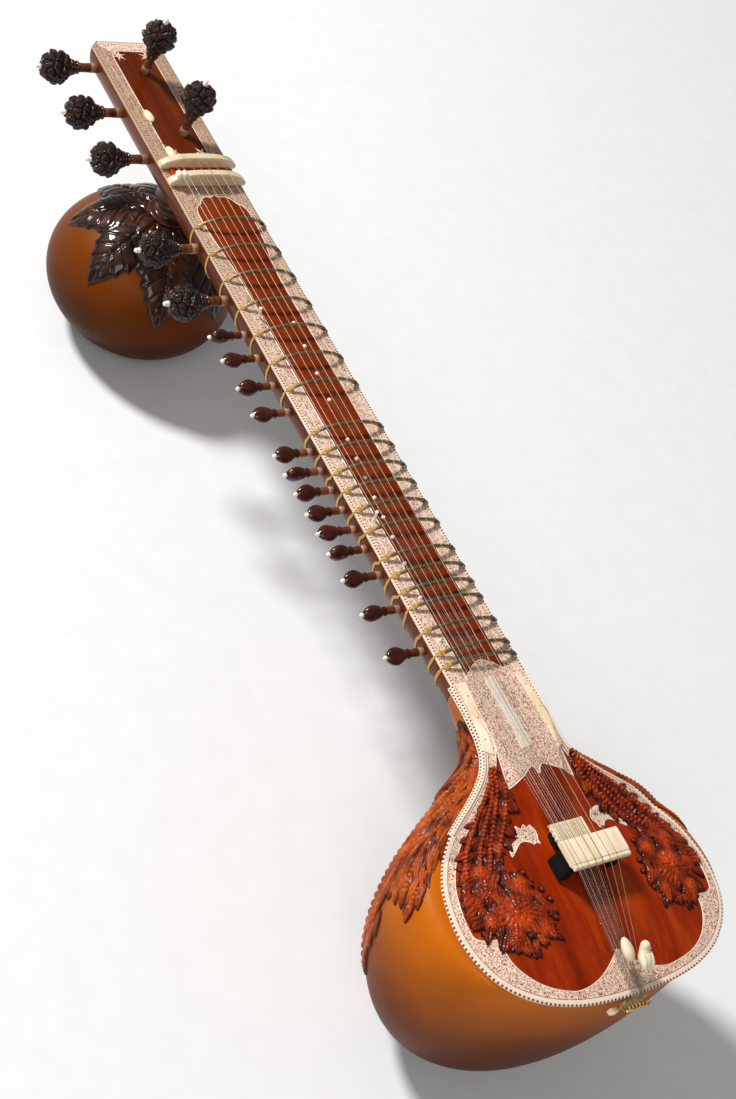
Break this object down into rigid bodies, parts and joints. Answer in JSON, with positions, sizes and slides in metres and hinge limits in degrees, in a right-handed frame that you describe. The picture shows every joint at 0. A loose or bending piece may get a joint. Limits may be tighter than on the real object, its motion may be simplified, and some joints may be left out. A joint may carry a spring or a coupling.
{
  "type": "sitar",
  "caption": "Sitar with a rounded main gourd and a smaller upper gourd, carved tuning pegs, arched movable frets, sympathetic strings under the main strings, and bone bridges.",
  "frame": {"origin": "middle of the flat on the underside of the main gourd", "axes": "+X along the neck towards the head, +Y towards the side pegs, +Z out of the playing face"},
  "size_m": [1.2305, 0.35, 0.337],
  "materials": {
    "gourd_lacquer": "satin lacquered gourd, orange brown",
    "soundboard_wood": "glossy reddish mahogany with visible grain",
    "neck_wood": "glossy orange red tun wood",
    "carved_dark_wood": "glossy dark carved wood",
    "peg_wood": "glossy dark red brown wood",
    "bone": "polished cream bone",
    "ebony": "matt black wood",
    "fret_metal": "worn grey brown nickel silver",
    "string_steel": "bright drawn wire",
    "brass": "polished brass"
  },
  "bodies": {
    "root": {"main_gourd": "gourd_lacquer", "neck_joint": "neck_wood", "soundboard": "soundboard_wood", "neck": "neck_wood", "neck_faceplate": "neck_wood", "headstock_face": "soundboard_wood", "upper_gourd_socket": "carved_dark_wood", "main_bridge_plate": "bone", "main_bridge_feet": "ebony", "small_bridge": "bone", "nut": "bone", "string_guide": "bone", "tailpiece": "brass", "main_strings": "string_steel", "sympathetic_strings": "string_steel"},
    "upper_gourd": {"upper_gourd": "gourd_lacquer", "upper_gourd_crown": "carved_dark_wood", "upper_gourd_mount": "carved_dark_wood"},
    "fret_01": {"fret_01": "fret_metal"},
    "fret_02": {"fret_02": "fret_metal"},
    "fret_03": {"fret_03": "fret_metal"},
    "fret_04": {"fret_04": "fret_metal"},
    "fret_05": {"fret_05": "fret_metal"},
    "fret_06": {"fret_06": "fret_metal"},
    "fret_07": {"fret_07": "fret_metal"},
    "fret_08": {"fret_08": "fret_metal"},
    "fret_09": {"fret_09": "fret_metal"},
    "fret_10": {"fret_10": "fret_metal"},
    "fret_11": {"fret_11": "fret_metal"},
    "fret_12": {"fret_12": "fret_metal"},
    "fret_13": {"fret_13": "fret_metal"},
    "fret_14": {"fret_14": "fret_metal"},
    "fret_15": {"fret_15": "fret_metal"},
    "fret_16": {"fret_16": "fret_metal"},
    "fret_17": {"fret_17": "fret_metal"},
    "fret_18": {"fret_18": "fret_metal"},
    "fret_19": {"fret_19": "fret_metal"},
    "fret_20": {"fret_20": "fret_metal"},
    "side_peg_1": {"side_peg_1": "carved_dark_wood"},
    "side_peg_2": {"side_peg_2": "carved_dark_wood"},
    "side_peg_3": {"side_peg_3": "carved_dark_wood"},
    "side_peg_4": {"side_peg_4": "carved_dark_wood"},
    "side_peg_5": {"side_peg_5": "carved_dark_wood"},
    "face_peg_1": {"face_peg_1": "carved_dark_wood"},
    "face_peg_2": {"face_peg_2": "carved_dark_wood"},
    "sympathetic_peg_01": {"sympathetic_peg_01": "peg_wood"},
    "sympathetic_peg_02": {"sympathetic_peg_02": "peg_wood"},
    "sympathetic_peg_03": {"sympathetic_peg_03": "peg_wood"},
    "sympathetic_peg_04": {"sympathetic_peg_04": "peg_wood"},
    "sympathetic_peg_05": {"sympathetic_peg_05": "peg_wood"},
    "sympathetic_peg_06": {"sympathetic_peg_06": "peg_wood"},
    "sympathetic_peg_07": {"sympathetic_peg_07": "peg_wood"},
    "sympathetic_peg_08": {"sympathetic_peg_08": "peg_wood"},
    "sympathetic_peg_09": {"sympathetic_peg_09": "peg_wood"},
    "sympathetic_peg_10": {"sympathetic_peg_10": "peg_wood"},
    "sympathetic_peg_11": {"sympathetic_peg_11": "peg_wood"},
    "sympathetic_peg_12": {"sympathetic_peg_12": "peg_wood"},
    "sympathetic_peg_13": {"sympathetic_peg_13": "peg_wood"},
    "swan_bead": {"swan_bead": "bone"},
    "leaf_bead": {"leaf_bead": "bone"}
  },
  "joints": [
    {"name": "upper_gourd_turn", "type": "hinge", "parent": "root", "child": "upper_gourd", "pos_m": [0.93, 0, 0.2], "axis": [0, 0, 1], "continuous": true},
    {"name": "fret_01_slide", "type": "slide", "parent": "root", "child": "fret_01", "axis": [1, 0, 0], "range_m": [-0.008, 0.008]},
    {"name": "fret_02_slide", "type": "slide", "parent": "root", "child": "fret_02", "axis": [1, 0, 0], "range_m": [-0.008, 0.008]},
    {"name": "fret_03_slide", "type": "slide", "parent": "root", "child": "fret_03", "axis": [1, 0, 0], "range_m": [-0.0075, 0.0075]},
    {"name": "fret_04_slide", "type": "slide", "parent": "root", "child": "fret_04", "axis": [1, 0, 0], "range_m": [-0.008, 0.008]},
    {"name": "fret_05_slide", "type": "slide", "parent": "root", "child": "fret_05", "axis": [1, 0, 0], "range_m": [-0.007, 0.007]},
    {"name": "fret_06_slide", "type": "slide", "parent": "root", "child": "fret_06", "axis": [1, 0, 0], "range_m": [-0.008, 0.008]},
    {"name": "fret_07_slide", "type": "slide", "parent": "root", "child": "fret_07", "axis": [1, 0, 0], "range_m": [-0.008, 0.008]},
    {"name": "fret_08_slide", "type": "slide", "parent": "root", "child": "fret_08", "axis": [1, 0, 0], "range_m": [-0.006, 0.006]},
    {"name": "fret_09_slide", "type": "slide", "parent": "root", "child": "fret_09", "axis": [1, 0, 0], "range_m": [-0.006, 0.006]},
    {"name": "fret_10_slide", "type": "slide", "parent": "root", "child": "fret_10", "axis": [1, 0, 0], "range_m": [-0.0055, 0.0055]},
    {"name": "fret_11_slide", "type": "slide", "parent": "root", "child": "fret_11", "axis": [1, 0, 0], "range_m": [-0.006, 0.006]},
    {"name": "fret_12_slide", "type": "slide", "parent": "root", "child": "fret_12", "axis": [1, 0, 0], "range_m": [-0.0055, 0.0055]},
    {"name": "fret_13_slide", "type": "slide", "parent": "root", "child": "fret_13", "axis": [1, 0, 0], "range_m": [-0.0055, 0.0055]},
    {"name": "fret_14_slide", "type": "slide", "parent": "root", "child": "fret_14", "axis": [1, 0, 0], "range_m": [-0.006, 0.006]},
    {"name": "fret_15_slide", "type": "slide", "parent": "root", "child": "fret_15", "axis": [1, 0, 0], "range_m": [-0.0065, 0.0065]},
    {"name": "fret_16_slide", "type": "slide", "parent": "root", "child": "fret_16", "axis": [1, 0, 0], "range_m": [-0.006, 0.006]},
    {"name": "fret_17_slide", "type": "slide", "parent": "root", "child": "fret_17", "axis": [1, 0, 0], "range_m": [-0.006, 0.006]},
    {"name": "fret_18_slide", "type": "slide", "parent": "root", "child": "fret_18", "axis": [1, 0, 0], "range_m": [-0.006, 0.006]},
    {"name": "fret_19_slide", "type": "slide", "parent": "root", "child": "fret_19", "axis": [1, 0, 0], "range_m": [-0.0045, 0.0045]},
    {"name": "fret_20_slide", "type": "slide", "parent": "root", "child": "fret_20", "axis": [1, 0, 0], "range_m": [-0.0045, 0.0045]},
    {"name": "side_peg_1_turn", "type": "hinge", "parent": "root", "child": "side_peg_1", "pos_m": [1.097, 0.05, 0.246], "axis": [0, 1, 0], "continuous": true},
    {"name": "side_peg_2_turn", "type": "hinge", "parent": "root", "child": "side_peg_2", "pos_m": [1.022, 0.05, 0.246], "axis": [0, 1, 0], "continuous": true},
    {"name": "side_peg_3_turn", "type": "hinge", "parent": "root", "child": "side_peg_3", "pos_m": [0.947, 0.05, 0.246], "axis": [0, 1, 0], "continuous": true},
    {"name": "side_peg_4_turn", "type": "hinge", "parent": "root", "child": "side_peg_4", "pos_m": [0.809, 0.05, 0.246], "axis": [0, 1, 0], "continuous": true},
    {"name": "side_peg_5_turn", "type": "hinge", "parent": "root", "child": "side_peg_5", "pos_m": [0.732, 0.05, 0.246], "axis": [0, 1, 0], "continuous": true},
    {"name": "face_peg_1_turn", "type": "hinge", "parent": "root", "child": "face_peg_1", "pos_m": [1.075, -0.004, 0.26], "axis": [0, 0, 1], "continuous": true},
    {"name": "face_peg_2_turn", "type": "hinge", "parent": "root", "child": "face_peg_2", "pos_m": [0.973, -0.008, 0.26], "axis": [0, 0, 1], "continuous": true},
    {"name": "sympathetic_peg_01_turn", "type": "hinge", "parent": "root", "child": "sympathetic_peg_01", "pos_m": [0.683, 0.05, 0.246], "axis": [0, 1, 0], "continuous": true},
    {"name": "sympathetic_peg_02_turn", "type": "hinge", "parent": "root", "child": "sympathetic_peg_02", "pos_m": [0.65, 0.05, 0.246], "axis": [0, 1, 0], "continuous": true},
    {"name": "sympathetic_peg_03_turn", "type": "hinge", "parent": "root", "child": "sympathetic_peg_03", "pos_m": [0.612, 0.05, 0.246], "axis": [0, 1, 0], "continuous": true},
    {"name": "sympathetic_peg_04_turn", "type": "hinge", "parent": "root", "child": "sympathetic_peg_04", "pos_m": [0.576, 0.05, 0.246], "axis": [0, 1, 0], "continuous": true},
    {"name": "sympathetic_peg_05_turn", "type": "hinge", "parent": "root", "child": "sympathetic_peg_05", "pos_m": [0.523, 0.05, 0.246], "axis": [0, 1, 0], "continuous": true},
    {"name": "sympathetic_peg_06_turn", "type": "hinge", "parent": "root", "child": "sympathetic_peg_06", "pos_m": [0.498, 0.05, 0.246], "axis": [0, 1, 0], "continuous": true},
    {"name": "sympathetic_peg_07_turn", "type": "hinge", "parent": "root", "child": "sympathetic_peg_07", "pos_m": [0.4735, 0.05, 0.246], "axis": [0, 1, 0], "continuous": true},
    {"name": "sympathetic_peg_08_turn", "type": "hinge", "parent": "root", "child": "sympathetic_peg_08", "pos_m": [0.448, 0.05, 0.246], "axis": [0, 1, 0], "continuous": true},
    {"name": "sympathetic_peg_09_turn", "type": "hinge", "parent": "root", "child": "sympathetic_peg_09", "pos_m": [0.4235, 0.05, 0.246], "axis": [0, 1, 0], "continuous": true},
    {"name": "sympathetic_peg_10_turn", "type": "hinge", "parent": "root", "child": "sympathetic_peg_10", "pos_m": [0.399, 0.05, 0.246], "axis": [0, 1, 0], "continuous": true},
    {"name": "sympathetic_peg_11_turn", "type": "hinge", "parent": "root", "child": "sympathetic_peg_11", "pos_m": [0.367, 0.05, 0.246], "axis": [0, 1, 0], "continuous": true},
    {"name": "sympathetic_peg_12_turn", "type": "hinge", "parent": "root", "child": "sympathetic_peg_12", "pos_m": [0.326, 0.05, 0.246], "axis": [0, 1, 0], "continuous": true},
    {"name": "sympathetic_peg_13_turn", "type": "hinge", "parent": "root", "child": "sympathetic_peg_13", "pos_m": [0.276, 0.05, 0.246], "axis": [0, 1, 0], "continuous": true},
    {"name": "swan_bead_slide", "type": "slide", "parent": "root", "child": "swan_bead", "axis": [0.9236, -0.1125, 0.3665], "range_m": [-0.008, 0.008]},
    {"name": "leaf_bead_slide", "type": "slide", "parent": "root", "child": "leaf_bead", "axis": [0.9241, 0.1075, 0.3667], "range_m": [-0.008, 0.008]}
  ]
}
